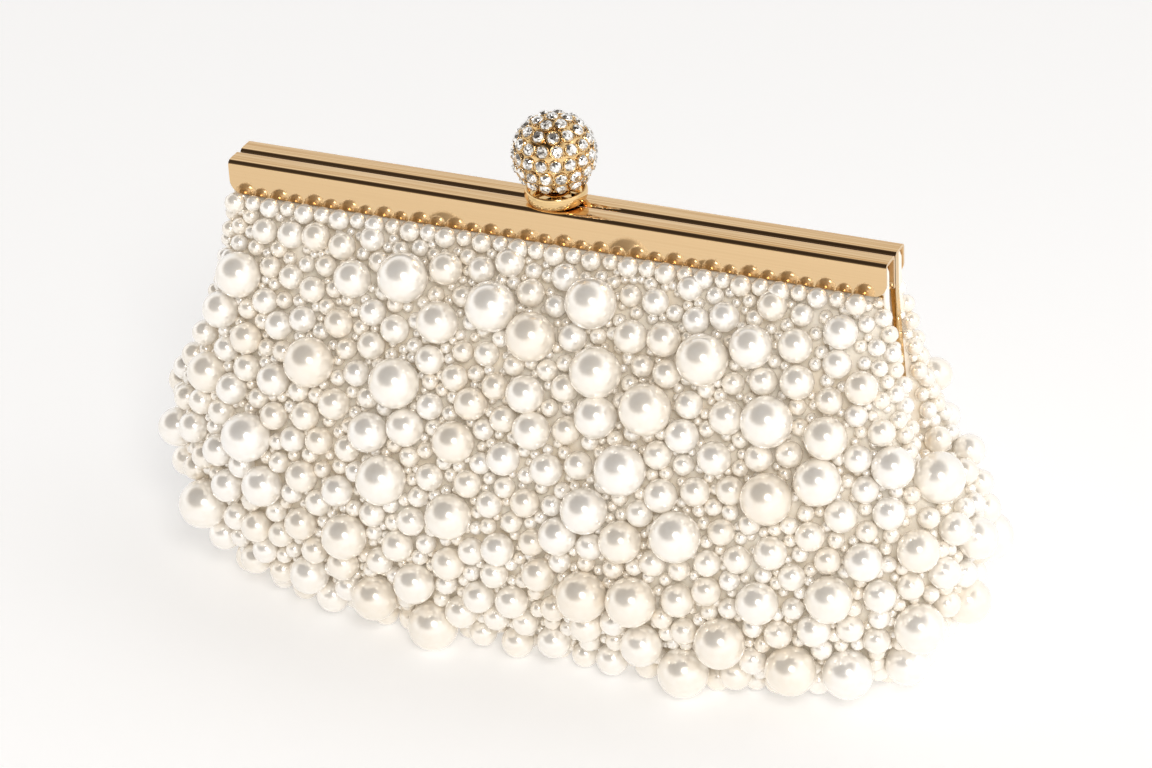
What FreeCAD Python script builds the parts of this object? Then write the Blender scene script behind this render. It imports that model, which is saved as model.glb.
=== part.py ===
"""Evening bag: a pearl-covered satin clutch on a two-part brass frame with a push-ball clasp.

Millimetres. X runs along the frame, -Y is the front, +Z is up. The origin is on the table, under the
middle of the bag. Each half of the frame turns outwards about one axis along X, low in the side clefts.
One STEP file is written for each piece.
"""
import FreeCAD, Part
import math
import os

Vector = FreeCAD.Vector

# ---- driving dimensions ------------------------------------------------------------------------

frame_length = 165.0        # rails, end to end
frame_top = 108.0           # top of the rails above the table
rail_width = 5.8            # one rail, front to back
rail_height = 8.4
rail_sheet = 0.8            # folded brass sheet
rail_split = 0.4            # gap between the two closed rails
rail_top_round = 1.3        # rounding of the long top edges
rail_corner_round = 3.2     # lower corners of the outer plates

hinge_drop = 55.0           # hinge axis below the rail tops
arm_thick = 1.2             # arms, along X
arm_width = 2.0             # arms, front to back
arm_splay = 3.6             # how far an arm leans outwards on its way down
arm_inset = 0.3             # outer arm behind the end of the rail
arm_headroom = 0.4          # arms below the inside of the rail's top
eye_radius = 3.0
pin_radius = 1.2
pin_clearance = 0.05        # radial, between pin and eye
pin_head_radius = 2.1
pin_head = 0.6
washer_thick = 0.3
washer_clearance = 0.05     # each side of a washer, along X

cleft_pearls = 4.0          # depth of the glued pearls on the walls of the side clefts
satin_thick = 1.0
board_thick = 0.8
lining_thick = 0.6
base_board_thick = 1.2
rim_rise = 7.0              # top of the lower pouch above the hinge axis
panel_rise = 27.0           # foot of the stiffened panels above the hinge axis
body_gap = 0.3              # between the pouch and the skirts
panel_clearance = 0.2       # between the panels and the rails above them
cleft_half = 5.4            # half width of the side clefts at the arms
cleft_flare = 0.5           # widening of a cleft on each side, for each millimetre outwards
cleft_drop = 8.0            # lowest point of a cleft under the hinge axis, at the arms
cleft_run = 22.0            # how far outwards a cleft's floor takes to rise to the pouch's rim
web_thick = 0.6
web_inset = 0.2             # side web inside the inner arm
web_margin = 0.2            # side web inside the cleft's walls
web_drop = 1.5              # top of the side web below the rails

# Outline of the pouch over the pearls: share of the height up to the panels' top, overhang past the
# rail's end, half depth, roundness of the plan (2 is an ellipse, more is squarer), depth of the pearls.
# The top row follows the rails, so that the satin there always ends under them.
outline = [
    (0.00, -3.5, 26.0, 2.6, 5.0),
    (0.10, 13.0, 36.0, 2.8, 6.5),
    (0.25, 21.0, 39.0, 2.8, 7.0),
    (0.45, 22.5, 36.5, 2.8, 7.0),
    (0.65, 19.0, 29.5, 2.8, 7.0),
    (0.85, 12.0, 20.0, 3.0, 6.0),
    (1.00, 3.0, rail_split / 2 + rail_width + 3.2, 4.0, 4.2),
]

ball_radius = 9.0
ball_travel = 1.5
stone_radius = 1.5
stone_height = 1.2
stone_gap = 0.3             # between neighbouring stones
stone_reach = 130.0         # rows of stones end before this angle from the ball's top
stone_girdle = 0.36         # height of a stone's upright edge
stone_table = 0.55          # flat top of a stone, share of its radius
cup_rim_radius = 7.5
cup_base_radius = 6.4
cup_height = 3.6
cup_wall = 0.8
cup_rim_round = 0.24        # rounding of the cup's rim
cup_clearance = 0.2         # cup over the front rail
stem_radius = 1.3
stem_clearance = 0.1
stem_notch = 2.0            # radius of the notch in the facing rails
stem_depth = 0.6            # of the stem's hole in the ball, as a share of the ball's radius
groove_share = 0.75         # of the stem's radius, left under the clip
collar_radius = 3.4
collar_height = 1.0
collar_clearance = 0.1      # collar over the cup's floor, pressed
collar_dish = 0.3           # depth of the ball's seat in the collar
clip_radius = 1.8
clip_thick = 0.4

latch_width = 6.0
latch_sheet = 0.4
latch_drop = 2.6            # latch floor below the rails
hook_gap = 0.4              # between the keeper's foot and the hook
hook_rise = 1.2
keeper_width = 9.0
keeper_bar = 0.6            # height of the keeper's foot
latch_room = 7.0            # half length of the gap left in the channel fillers
rivet_radius = 0.6
rivet_head_radius = 1.1
rivet_head = 0.5
rivet_spread = 3.0          # of the two rivets, from the middle
rivet_height = 0.45         # of the two rivets, as a share of the rail's height
plate_height = 0.75         # of the keeper and the latch leaf on the rail, as a share of its height
cup_rivet_x = 3.4

binding_thick = 1.0
binding_setback = 0.2       # bindings behind the ends of the rails
binding_inset = 0.2         # bindings inside the line of the outer plates
filler_setback = 0.1        # fillers behind the ends of the rails
side_room = 0.05            # between an arm and the filler beside it
front_binding_drop = 14.0
back_binding_drop = 10.0

# ---- places worked out from them ---------------------------------------------------------------

rail_end = frame_length / 2
rail_foot = frame_top - rail_height
wall_y = rail_split / 2                     # facing side of each rail
outer_y = wall_y + rail_width               # outer face of each rail
cavity_in = wall_y + rail_sheet
cavity_out = outer_y - rail_sheet
cavity_top = frame_top - rail_sheet
panel_top = rail_foot - panel_clearance
hinge_z = frame_top - hinge_drop
cleft_foot = hinge_z - cleft_drop
pouch_rim = hinge_z + rim_rise
panel_foot = hinge_z + panel_rise
arm_top = cavity_top - arm_headroom
arm_pitch = arm_thick + washer_thick + 2 * washer_clearance
outer_arm_x = rail_end - arm_inset - arm_thick              # inner face of the outer arm, at its top
inner_arm_x = outer_arm_x - arm_pitch
bottom_pearls = outline[0][4]
board_inset = satin_thick                   # depths inside the satin's outer face
lining_inset = board_inset + board_thick
inside_inset = lining_inset + lining_thick
cup_floor = frame_top + cup_wall
cup_rivet_y = (cavity_in + cavity_out) / 2
collar_z = cup_floor + ball_travel + collar_clearance
ball_foot = collar_z + collar_height - collar_dish
ball_z = ball_foot + math.sqrt(ball_radius ** 2 - stem_radius ** 2)
stone_pitch = 2 * stone_radius + stone_gap
latch_floor = rail_foot - latch_drop
plate_top = rail_foot + plate_height * rail_height
keeper_foot = latch_floor + latch_sheet + 0.5 * hook_rise
keeper_y = -(stem_notch + latch_sheet)      # outer side of the keeper's foot
web_half = cleft_half - web_margin
web_foot = cleft_foot + 0.5
fine_clearance = 0.05
far = 2 * (frame_length + frame_top)        # half size of a cutting block that reaches past everything


# ---- shapes ------------------------------------------------------------------------------------


def block(x0, x1, y0, y1, z0, z1):
    """A box from its low and high corners, given in any order."""
    xs, ys, zs = sorted((x0, x1)), sorted((y0, y1)), sorted((z0, z1))
    return Part.makeBox(xs[1] - xs[0], ys[1] - ys[0], zs[1] - zs[0], Vector(xs[0], ys[0], zs[0]))


def rod(radius, start, axis, length):
    return Part.makeCylinder(radius, length, Vector(*start), Vector(*axis))


def level_wire(corners, z):
    """A closed outline in a level plane, given as (x, y)."""
    points = [Vector(x, y, z) for x, y in corners]
    return Part.makePolygon(points + points[:1])


def level_rectangle(x0, x1, y0, y1, z):
    return level_wire([(x0, y0), (x1, y0), (x1, y1), (x0, y1)], z)


def mirror_x(shape):
    return shape.mirror(Vector(0, 0, 0), Vector(1, 0, 0))


def strip(points, half_width):
    """A flat bar: a closed outline in the YZ plane, given as (y, z), carried along X."""
    corners = [Vector(-half_width, y, z) for y, z in points]
    face = Part.Face(Part.makePolygon(corners + corners[:1]))
    return face.extrude(Vector(2 * half_width, 0, 0))


def ring(half_length, half_depth, roundness, z, count=24):
    """A closed superellipse in a level plane."""
    points = []
    for i in range(count):
        turn = 2 * math.pi * i / count
        c, s = math.cos(turn), math.sin(turn)
        x = half_length * math.copysign(abs(c) ** (2 / roundness), c)
        y = half_depth * math.copysign(abs(s) ** (2 / roundness), s)
        points.append(Vector(x, y, z))
    curve = Part.BSplineCurve()
    curve.interpolate(points, PeriodicFlag=True)
    return Part.Wire(curve.toShape())


def outline_at(share):
    """The outline's values at a share of the height: a cubic through its rows."""
    rows = outline
    k = max(i for i in range(len(rows) - 1) if i == 0 or rows[i][0] <= share)
    a, b = rows[k], rows[k + 1]
    before, after = rows[max(k - 1, 0)], rows[min(k + 2, len(rows) - 1)]
    span = b[0] - a[0]
    t = (share - a[0]) / span
    values = []
    for c in (1, 2, 3, 4):
        slope_a = (b[c] - before[c]) / (b[0] - before[0]) * span
        slope_b = (after[c] - a[c]) / (after[0] - a[0]) * span
        values.append(
            a[c] * (2 * t ** 3 - 3 * t ** 2 + 1) + slope_a * (t ** 3 - 2 * t ** 2 + t)
            + b[c] * (3 * t ** 2 - 2 * t ** 3) + slope_b * (t ** 3 - t ** 2)
        )
    return values


def web_x(z):
    """Inner side of the right-hand web, which follows the arms down: upright, leaning out, upright."""
    neck_z, knee_z = rail_foot - arm_width, hinge_z + eye_radius + arm_width
    lean = min(1.0, max(0.0, (neck_z - z) / (neck_z - knee_z)))
    return inner_arm_x + arm_splay * lean - web_inset - web_thick


def clefts(inset):
    """Both side clefts as solids: wedges open outwards, over a floor that rises outwards, grown by inset."""
    reach, low, high = frame_length / 4, cleft_foot - 3 * inset, frame_top + rail_height

    def section(z):
        x0, y0 = web_x(z) - inset, cleft_half + inset
        x1, y1 = x0 + reach, y0 + cleft_flare * reach
        return level_wire([(x0, -y0), (x1, -y1), (x1, y1), (x0, y0)], z)

    wedge = Part.makeLoft([section(z) for z in (low, hinge_z, rail_foot, high)], True, True)
    x0, z0 = web_x(cleft_foot) - inset, cleft_foot - inset
    rise = (pouch_rim - cleft_foot) / cleft_run
    corners = [Vector(x, -far, z) for x, z in
               ((x0 - reach, z0), (x0, z0), (x0 + 2 * reach, z0 + 2 * reach * rise), (x0 - reach, far))]
    above = Part.Face(Part.makePolygon(corners + corners[:1])).extrude(Vector(0, 2 * far, 0))
    right = wedge.common(above)
    return right.fuse(mirror_x(right))


def bag_form(inset):
    """The whole bag's form as one solid, from the table to the panels' top.

    It is the pearls' outer form where inset is None, and else lies inset inside the satin's outer face.
    """
    wires = []
    for row in outline:
        covered = inset is not None
        lift = (bottom_pearls + inset) / panel_top if covered else 0
        share = max(row[0], lift)
        overhang, depth, roundness, pearls = outline_at(share)
        shrink = pearls + inset if covered else 0
        wires.append(ring(rail_end + overhang - shrink, depth - shrink, roundness, share * panel_top))
    return Part.makeLoft(wires, True, False).cut(clefts(cleft_pearls + inset if covered else 0))


def between(shape, z0, z1):
    return shape.common(block(-far, far, -far, far, z0, z1))


def one_side(shape, side):
    """The part of a shape in front (side -1) or behind (side 1)."""
    return shape.common(block(-far, far, 0, side * far, -far, far))


def rail(side):
    """A folded channel, open below, with rounded long edges, round lower corners and the stem's notch."""
    body = block(-rail_end, rail_end, side * wall_y, side * outer_y, rail_foot, frame_top)
    tops = [e for e in body.Edges
            if abs(e.BoundBox.ZMin - frame_top) < 1e-6 and e.BoundBox.XLength > frame_length / 2]
    body = body.makeFillet(rail_top_round, tops)
    body = body.cut(block(-far, far, side * cavity_in, side * cavity_out, rail_foot - 1, cavity_top))
    for end in (-1, 1):
        x = end * (rail_end - rail_corner_round)
        z = rail_foot + rail_corner_round
        y = side * (cavity_out - fine_clearance)
        corner = block(x, end * (rail_end + 1), y, side * (outer_y + 1), rail_foot - 1, z)
        round_tool = rod(rail_corner_round, (x, side * (cavity_out - 1), z), (0, side, 0), 4 * rail_sheet)
        body = body.cut(corner.cut(round_tool))
    return body.cut(rod(stem_notch, (0, 0, rail_foot - 1), (0, 0, 1), rail_height + 2))


def rivet_places():
    z = rail_foot + rivet_height * rail_height
    return [(-rivet_spread, z), (rivet_spread, z)]


def rivet_bores(side):
    """Holes through a rail's facing wall and the plate behind it."""
    depth = rail_sheet + latch_sheet
    bores = [rod(rivet_radius, (x, side * wall_y, z), (0, side, 0), depth) for x, z in rivet_places()]
    return bores[0].fuse(bores[1])


def rivets(side):
    """Two rivets, flush in the gap and headed inside the channel."""
    made = []
    for x, z in rivet_places():
        back = wall_y + rail_sheet + latch_sheet
        shank = rod(rivet_radius, (x, side * wall_y, z), (0, side, 0), back - wall_y)
        head = rod(rivet_head_radius, (x, side * back, z), (0, side, 0), rivet_head)
        made.append(shank.fuse(head))
    return Part.makeCompound(made)


def arm(side, top_x):
    """An arm at the right end: a bar that leans outwards down to its eye on the hinge axis."""
    foot_x = top_x + arm_splay
    neck_z = rail_foot - arm_width
    knee_z = hinge_z + eye_radius + arm_width
    top_x1, foot_x1 = top_x + arm_thick, foot_x + arm_thick
    top_y0, top_y1 = side * cavity_in, side * (cavity_in + arm_width)
    foot_y0, foot_y1 = -side * arm_width / 2, side * arm_width / 2
    bar = Part.makeLoft([
        level_rectangle(top_x, top_x1, top_y0, top_y1, arm_top),
        level_rectangle(top_x, top_x1, top_y0, top_y1, neck_z),
        level_rectangle(foot_x, foot_x1, foot_y0, foot_y1, knee_z),
        level_rectangle(foot_x, foot_x1, foot_y0, foot_y1, hinge_z),
    ], True, True)
    eye = rod(eye_radius, (foot_x, 0, hinge_z), (1, 0, 0), arm_thick)
    bore = rod(pin_radius + pin_clearance, (foot_x - 1, 0, hinge_z), (1, 0, 0), arm_thick + 2)
    return bar.fuse(eye).cut(bore).removeSplitter()


def hinge_pin():
    """The right-hand pin, headed at both ends: the inner head holds the side web."""
    inner_x = web_x(hinge_z)
    outer_x = outer_arm_x + arm_splay + arm_thick + washer_clearance
    shank = rod(pin_radius, (inner_x, 0, hinge_z), (1, 0, 0), outer_x - inner_x)
    inner_head = rod(pin_head_radius, (inner_x - pin_head, 0, hinge_z), (1, 0, 0), pin_head)
    outer_head = rod(pin_head_radius, (outer_x, 0, hinge_z), (1, 0, 0), pin_head)
    return shank.fuse(inner_head).fuse(outer_head)


def washer():
    x = inner_arm_x + arm_splay + arm_thick + washer_clearance
    disc = rod(pin_head_radius, (x, 0, hinge_z), (1, 0, 0), washer_thick)
    return disc.cut(rod(pin_radius + pin_clearance, (x - 1, 0, hinge_z), (1, 0, 0), washer_thick + 2))


def side_web():
    """The right-hand web that closes the cleft behind the arms, from the rails to the cleft's foot."""
    heights = (rail_foot - web_drop, rail_foot - arm_width, hinge_z + eye_radius + arm_width, web_foot)
    inner = [(web_x(z), z) for z in heights]
    corners = [Vector(x, -web_half, z) for x, z in inner]
    corners += [Vector(x + web_thick, -web_half, z) for x, z in inner[::-1]]
    web = Part.Face(Part.makePolygon(corners + corners[:1])).extrude(Vector(0, 2 * web_half, 0))
    return web.cut(rod(pin_radius, (web_x(hinge_z) - 1, 0, hinge_z), (1, 0, 0), web_thick + 2))


def filler(side):
    """Satin folded into the channel, with room for the arms at its ends and for the clasp."""
    half = rail_end - filler_setback
    body = block(-half, half, side * cavity_in, side * cavity_out, panel_top, cavity_top)
    arm_side = side * (cavity_in + arm_width + side_room)
    for end in (-1, 1):
        start = end * (inner_arm_x - 1)
        body = body.cut(block(start, end * far, side * cavity_in, arm_side, 0, far))
    return body.cut(block(-latch_room, latch_room, -far, far, 0, far))


def bindings(side, drop):
    """Satin edging at both ends, from the channel down beside the arms."""
    y0 = side * (cavity_in + arm_width + 2 * side_room)
    y1 = side * (cavity_out - binding_inset)
    x1 = rail_end - binding_setback
    x0 = x1 - binding_thick
    lean = arm_splay * drop / (arm_top - hinge_z)
    top = level_rectangle(x0, x1, y0, y1, panel_top)
    foot = level_rectangle(x0 + lean, x1 + lean, y0, y1, panel_top - drop)
    right = Part.makeLoft([top, foot], True, True)
    return Part.makeCompound([right, mirror_x(right)])


def keeper():
    """A plate behind the front rail's facing wall: its foot passes the stem and hangs inside the hook."""
    y0, y1, half = -cavity_in, -(cavity_in + latch_sheet), keeper_width / 2
    plate = block(-half, half, y0, y1, keeper_foot, plate_top)
    foot = block(-half, half, y0, keeper_y, keeper_foot, keeper_foot + keeper_bar)
    stem_way = rod(stem_notch, (0, 0, 0), (0, 0, 1), far)
    return plate.fuse(foot).cut(stem_way).cut(rivet_bores(-1))


def latch_spring():
    """A leaf on the back rail: down, forward under the stem, and up in a hook before the keeper."""
    hook_y = keeper_y - hook_gap
    floor_top = latch_floor + latch_sheet
    points = [
        (cavity_in, plate_top), (cavity_in, floor_top), (hook_y, floor_top),
        (hook_y, floor_top + hook_rise), (hook_y - latch_sheet, floor_top + hook_rise),
        (hook_y - latch_sheet, latch_floor), (cavity_in + latch_sheet, latch_floor),
        (cavity_in + latch_sheet, plate_top),
    ]
    stem_way = rod(stem_notch, (0, 0, floor_top + fine_clearance), (0, 0, 1), far)
    leaf = strip(points, latch_width / 2 + rivet_head_radius)
    return leaf.cut(stem_way).cut(rivet_bores(1))


def clasp_cup():
    """A round bowl on the back rail, just clear of the front one, with the stem's hole."""
    outside = Part.makeCone(cup_base_radius, cup_rim_radius, cup_height, Vector(0, 0, frame_top))
    inside = Part.makeCone(cup_base_radius - cup_wall, cup_rim_radius - cup_wall, cup_height,
                           Vector(0, 0, cup_floor))
    bowl = outside.cut(inside)
    rims = [e for e in bowl.Edges if abs(e.BoundBox.ZMin - frame_top - cup_height) < 1e-6]
    bowl = bowl.makeFillet(cup_rim_round, rims)
    bowl = bowl.cut(rod(stem_radius + stem_clearance, (0, 0, frame_top - 1), (0, 0, 1), cup_height))
    bowl = bowl.cut(block(-far, far, -far, wall_y, frame_top - 1, frame_top + cup_clearance))
    return bowl.cut(cup_rivet_bores())


def cup_rivet_bores():
    places = [(-cup_rivet_x, cup_rivet_y), (cup_rivet_x, cup_rivet_y)]
    bores = [rod(rivet_radius, (x, y, cavity_top), (0, 0, 1), cup_floor - cavity_top) for x, y in places]
    return bores[0].fuse(bores[1])


def cup_rivets():
    """Two rivets through the cup's floor and the back rail's top."""
    made = []
    for x in (-cup_rivet_x, cup_rivet_x):
        shank = rod(rivet_radius, (x, cup_rivet_y, cavity_top), (0, 0, 1), cup_floor - cavity_top)
        low = rod(rivet_head_radius, (x, cup_rivet_y, cavity_top - rivet_head), (0, 0, 1), rivet_head)
        high = rod(rivet_head_radius, (x, cup_rivet_y, cup_floor), (0, 0, 1), rivet_head)
        made.append(shank.fuse(low).fuse(high))
    return Part.makeCompound(made)


def ball_shell():
    """The clasp's ball, with a blind hole for the stem."""
    ball = Part.makeSphere(ball_radius, Vector(0, 0, ball_z))
    depth = stem_depth * ball_radius
    return ball.cut(rod(stem_radius, (0, 0, ball_z - ball_radius - 1), (0, 0, 1), 1 + depth))


def ball_stones():
    """Flat-backed stones in level rows around the ball, as many in each row as its length takes."""
    made = []
    row_turn = stone_pitch / ball_radius
    for row in range(1 + int(math.radians(stone_reach) / row_turn)):
        tilt = row * row_turn
        count = max(1, int(2 * math.pi * ball_radius * math.sin(tilt) / stone_pitch))
        for i in range(count):
            turn = 2 * math.pi * (i + 0.5 * (row % 2)) / count
            out = Vector(math.sin(tilt) * math.cos(turn), math.sin(tilt) * math.sin(turn), math.cos(tilt))
            base = Vector(0, 0, ball_z) + out * ball_radius
            girdle = Part.makeCylinder(stone_radius, stone_girdle, base, out)
            crown = Part.makeCone(stone_radius, stone_table * stone_radius, stone_height - stone_girdle,
                                  base + out * stone_girdle, out)
            made.append(girdle.fuse(crown))
    return Part.makeCompound(made)


def ball_collar():
    """A turned ring on the stem, under the ball."""
    outside = rod(collar_radius, (0, 0, collar_z), (0, 0, 1), collar_height)
    outside = outside.cut(Part.makeSphere(ball_radius, Vector(0, 0, ball_z)))
    return outside.cut(rod(stem_radius, (0, 0, collar_z - 1), (0, 0, 1), collar_height + 2))


def ball_stem():
    foot = latch_floor + latch_sheet + fine_clearance
    top = ball_z - ball_radius + stem_depth * ball_radius
    stem = rod(stem_radius, (0, 0, foot), (0, 0, 1), top - foot)
    groove = rod(stem_radius + 1, (0, 0, clip_z()), (0, 0, 1), clip_thick)
    left = rod(groove_share * stem_radius, (0, 0, clip_z() - 1), (0, 0, 1), clip_thick + 2)
    return stem.cut(groove.cut(left))


def clip_z():
    return frame_top - fine_clearance - clip_thick


def stem_clip():
    """A spring clip in the stem's groove, open on one side, that stops the ball lifting out."""
    disc = rod(clip_radius, (0, 0, clip_z()), (0, 0, 1), clip_thick)
    disc = disc.cut(rod(groove_share * stem_radius, (0, 0, clip_z() - 1), (0, 0, 1), clip_thick + 2))
    return disc.cut(block(0, far, -0.5 * stem_radius, 0.5 * stem_radius, 0, far))


# ---- the bag's layers --------------------------------------------------------------------------

forms = {inset: bag_form(inset) for inset in (None, 0.0, board_inset, lining_inset, inside_inset)}
layers = {(outer, inner): forms[outer].cut(forms[inner]) for outer, inner in (
    (None, 0.0), (0.0, board_inset), (board_inset, lining_inset), (lining_inset, inside_inset),
    (None, inside_inset))}


def pin_room():
    """Room for the inner heads of the hinge pins, behind the side webs."""
    x = web_x(hinge_z)
    start = (x - pin_head - washer_clearance, 0, hinge_z)
    right = rod(pin_head_radius + washer_clearance, start, (1, 0, 0), pin_head + 2 * washer_clearance)
    return right.fuse(mirror_x(right))


def pouch_layer(outer, inner):
    return between(layers[outer, inner], 0, pouch_rim - body_gap)


def upper_layer(outer, inner, side, z0, z1):
    """A layer of one panel: it leaves the middle of the clefts to the side webs."""
    x = web_x(rail_foot) - 2 * (cleft_pearls + inside_inset)
    middle = block(x, far, -cleft_half, cleft_half, 0, far)
    return one_side(between(layers[outer, inner], z0, z1), side).cut(middle).cut(mirror_x(middle))


def base_board():
    """A card floor inside the lining."""
    floor = bottom_pearls + inside_inset
    overhang, depth, roundness, pearls = outline_at(floor / panel_top)
    shrink = pearls + inside_inset + base_board_thick
    low = ring(rail_end + overhang - shrink, depth - shrink, roundness, floor)
    return Part.Face(low).extrude(Vector(0, 0, base_board_thick))


pieces = {
    "pouch_pearls": pouch_layer(None, 0.0).cut(pin_room()),
    "pouch_satin": pouch_layer(0.0, board_inset),
    "pouch_wadding": pouch_layer(board_inset, lining_inset),
    "pouch_lining": pouch_layer(lining_inset, inside_inset),
    "base_board": base_board(),
    "hinge_pins": Part.makeCompound([hinge_pin(), mirror_x(hinge_pin())]),
    "hinge_washers": Part.makeCompound([washer(), mirror_x(washer())]),
    "side_web_right": side_web(),
    "side_web_left": mirror_x(side_web()),
    "keeper": keeper(),
    "keeper_rivets": rivets(-1),
    "latch_spring": latch_spring(),
    "latch_rivets": rivets(1),
    "clasp_cup": clasp_cup(),
    "cup_rivets": cup_rivets(),
    "ball_shell": ball_shell(),
    "ball_stones": ball_stones(),
    "ball_collar": ball_collar(),
    "ball_stem": ball_stem(),
    "stem_clip": stem_clip(),
}
for name, side, arm_x, drop in (("front", -1, inner_arm_x, front_binding_drop),
                                ("back", 1, outer_arm_x, back_binding_drop)):
    pieces[name + "_rail"] = rail(side).cut(rivet_bores(side))
    pieces[name + "_arm_right"] = arm(side, arm_x)
    pieces[name + "_arm_left"] = mirror_x(arm(side, arm_x))
    pieces[name + "_filler"] = filler(side)
    pieces[name + "_bindings"] = bindings(side, drop)
    pieces[name + "_pearls"] = upper_layer(None, 0.0, side, panel_foot, panel_top)
    pieces[name + "_satin"] = upper_layer(0.0, board_inset, side, panel_foot, panel_top)
    pieces[name + "_board"] = upper_layer(board_inset, lining_inset, side, panel_foot, panel_top)
    pieces[name + "_lining"] = upper_layer(lining_inset, inside_inset, side, panel_foot, panel_top)
    pieces[name + "_skirt"] = upper_layer(None, inside_inset, side, pouch_rim, panel_foot)
pieces["back_rail"] = pieces["back_rail"].cut(cup_rivet_bores())

os.makedirs("parts", exist_ok=True)
for name, shape in pieces.items():
    shape.exportStep("parts/%s.step" % name)
    box = shape.BoundBox
    print("%-16s solids %3d  volume %9.1f  valid %s  z %6.1f to %6.1f"
          % (name, len(shape.Solids), shape.Volume, shape.isValid(), box.ZMin, box.ZMax))
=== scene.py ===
# %% [markdown]
# # A pearl-covered evening bag
#
# A satin clutch hangs from a folded brass frame and is covered with glued faux pearls of many sizes. This
# lesson builds everything that is seen of it around a frame that is already engineered: the frame gives
# each piece's place and what it moves with, and the cells below give the looks.

# %% Load the engineered frame
import math

import bmesh
import bpy
import numpy as np
from mathutils import Matrix, Vector


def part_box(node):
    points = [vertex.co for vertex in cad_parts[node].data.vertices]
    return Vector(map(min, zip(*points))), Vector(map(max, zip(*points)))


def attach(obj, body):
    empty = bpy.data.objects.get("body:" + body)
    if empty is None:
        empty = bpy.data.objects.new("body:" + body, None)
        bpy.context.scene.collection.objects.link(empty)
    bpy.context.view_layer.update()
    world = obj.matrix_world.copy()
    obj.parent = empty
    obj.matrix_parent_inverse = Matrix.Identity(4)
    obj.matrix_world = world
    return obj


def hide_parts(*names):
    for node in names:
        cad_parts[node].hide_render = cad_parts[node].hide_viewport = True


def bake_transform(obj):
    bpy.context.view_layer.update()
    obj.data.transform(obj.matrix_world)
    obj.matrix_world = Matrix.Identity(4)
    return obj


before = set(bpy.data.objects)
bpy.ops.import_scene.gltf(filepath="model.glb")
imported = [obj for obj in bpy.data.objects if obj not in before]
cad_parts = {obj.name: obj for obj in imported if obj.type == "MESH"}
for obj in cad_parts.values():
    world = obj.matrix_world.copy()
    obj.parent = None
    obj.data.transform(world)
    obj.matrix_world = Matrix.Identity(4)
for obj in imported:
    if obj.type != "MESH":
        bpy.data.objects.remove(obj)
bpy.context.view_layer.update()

MM = 0.001

# %% [markdown]
# ## Camera, floor and light
#
# A long lens from a little above gives the calm, nearly parallel view of a product picture. The camera is
# placed by the turn around the bag, the height angle, a slight roll and the distance.

# %% Place the camera
VIEW_TURN, VIEW_RISE, VIEW_ROLL = math.radians(25.2), math.radians(29.6), math.radians(-3.07)
VIEW_DISTANCE, VIEW_TARGET = 965.0, np.array([2.4, 0.0, 59.7])


def view_axes(turn, rise, roll):
    """Right, up and back of a camera: back is (sin t cos r, -cos t cos r, sin r), right is level, and both
    right and up are then turned by the roll about back."""
    back = np.array([math.sin(turn) * math.cos(rise), -math.cos(turn) * math.cos(rise), math.sin(rise)])
    level = np.array([math.cos(turn), math.sin(turn), 0.0])
    upright = np.cross(back, level)
    right = math.cos(roll) * level + math.sin(roll) * upright
    return right, np.cross(back, right), back


right, up, back = view_axes(VIEW_TURN, VIEW_RISE, VIEW_ROLL)
camera = bpy.data.objects.new("camera", bpy.data.cameras.new("camera"))
camera.data.lens, camera.data.sensor_width = 128.0, 36.0
camera.matrix_world = Matrix(np.vstack([
    np.column_stack([right, up, back, (VIEW_TARGET + VIEW_DISTANCE * back) * MM]), [0, 0, 0, 1]]).tolist())
bpy.context.scene.collection.objects.link(camera)
bpy.context.scene.camera = camera
print("camera at", [round(v, 3) for v in camera.matrix_world.translation])

# %% [markdown]
# Colours are written as sRGB hex values, as a paint chart gives them, and one function turns them to the
# linear values that light adds up in. One more function adds a shader node with its settings and links.

# %% Colour and shader helpers


def srgb(code):
    """Linear colour of a hex value: c / 12.92 below 0.04045, and ((c + 0.055) / 1.055) ^ 2.4 above it."""
    c = np.array([int(code[i:i + 2], 16) for i in (1, 3, 5)]) / 255
    linear = np.where(c <= 0.04045, c / 12.92, ((c + 0.055) / 1.055) ** 2.4)
    return (*linear.tolist(), 1.0)


def add(tree, kind, settings=None, links=None):
    """Adds a shader node of a kind, sets its sockets or properties, and links outputs into its sockets."""
    node = tree.nodes.new("ShaderNode" + kind)
    for key, value in (settings or {}).items():
        if isinstance(key, int) or key in node.inputs:
            node.inputs[key].default_value = value
        else:
            setattr(node, key, value)
    for key, source in (links or {}).items():
        tree.links.new(source, node.inputs[key])
    return node


def new_material(name, surface):
    """A material with one Principled surface, whose sockets take the given values."""
    material = bpy.data.materials.new(name)
    material.use_nodes = True
    tree = material.node_tree
    tree.nodes.clear()
    shader = add(tree, "BsdfPrincipled", surface)
    add(tree, "OutputMaterial", {}, {"Surface": shader.outputs[0]})
    return material, tree, shader


def ramp(tree, source, stops):
    """A colour ramp through (place, colour) stops, fed by one output."""
    node = add(tree, "ValToRGB", {}, {"Fac": source})
    elements = node.color_ramp.elements
    while len(elements) < len(stops):
        elements.new(0.5)
    for element, (place, colour) in zip(elements, stops):
        element.position = place
        element.color = colour
    return node.outputs["Color"]


def grey(value):
    """An even grey: the same value three times."""
    return (value, value, value, 1.0)


# %% [markdown]
# The room is white all round, and a fifth dimmer behind the bag. A dim patch above and in front of the bag
# stands for a studio's black ceiling. It draws the dark lines along the brass edges and the soft grey caps
# in the pearls, and the bright table whitens them from below.

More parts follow.
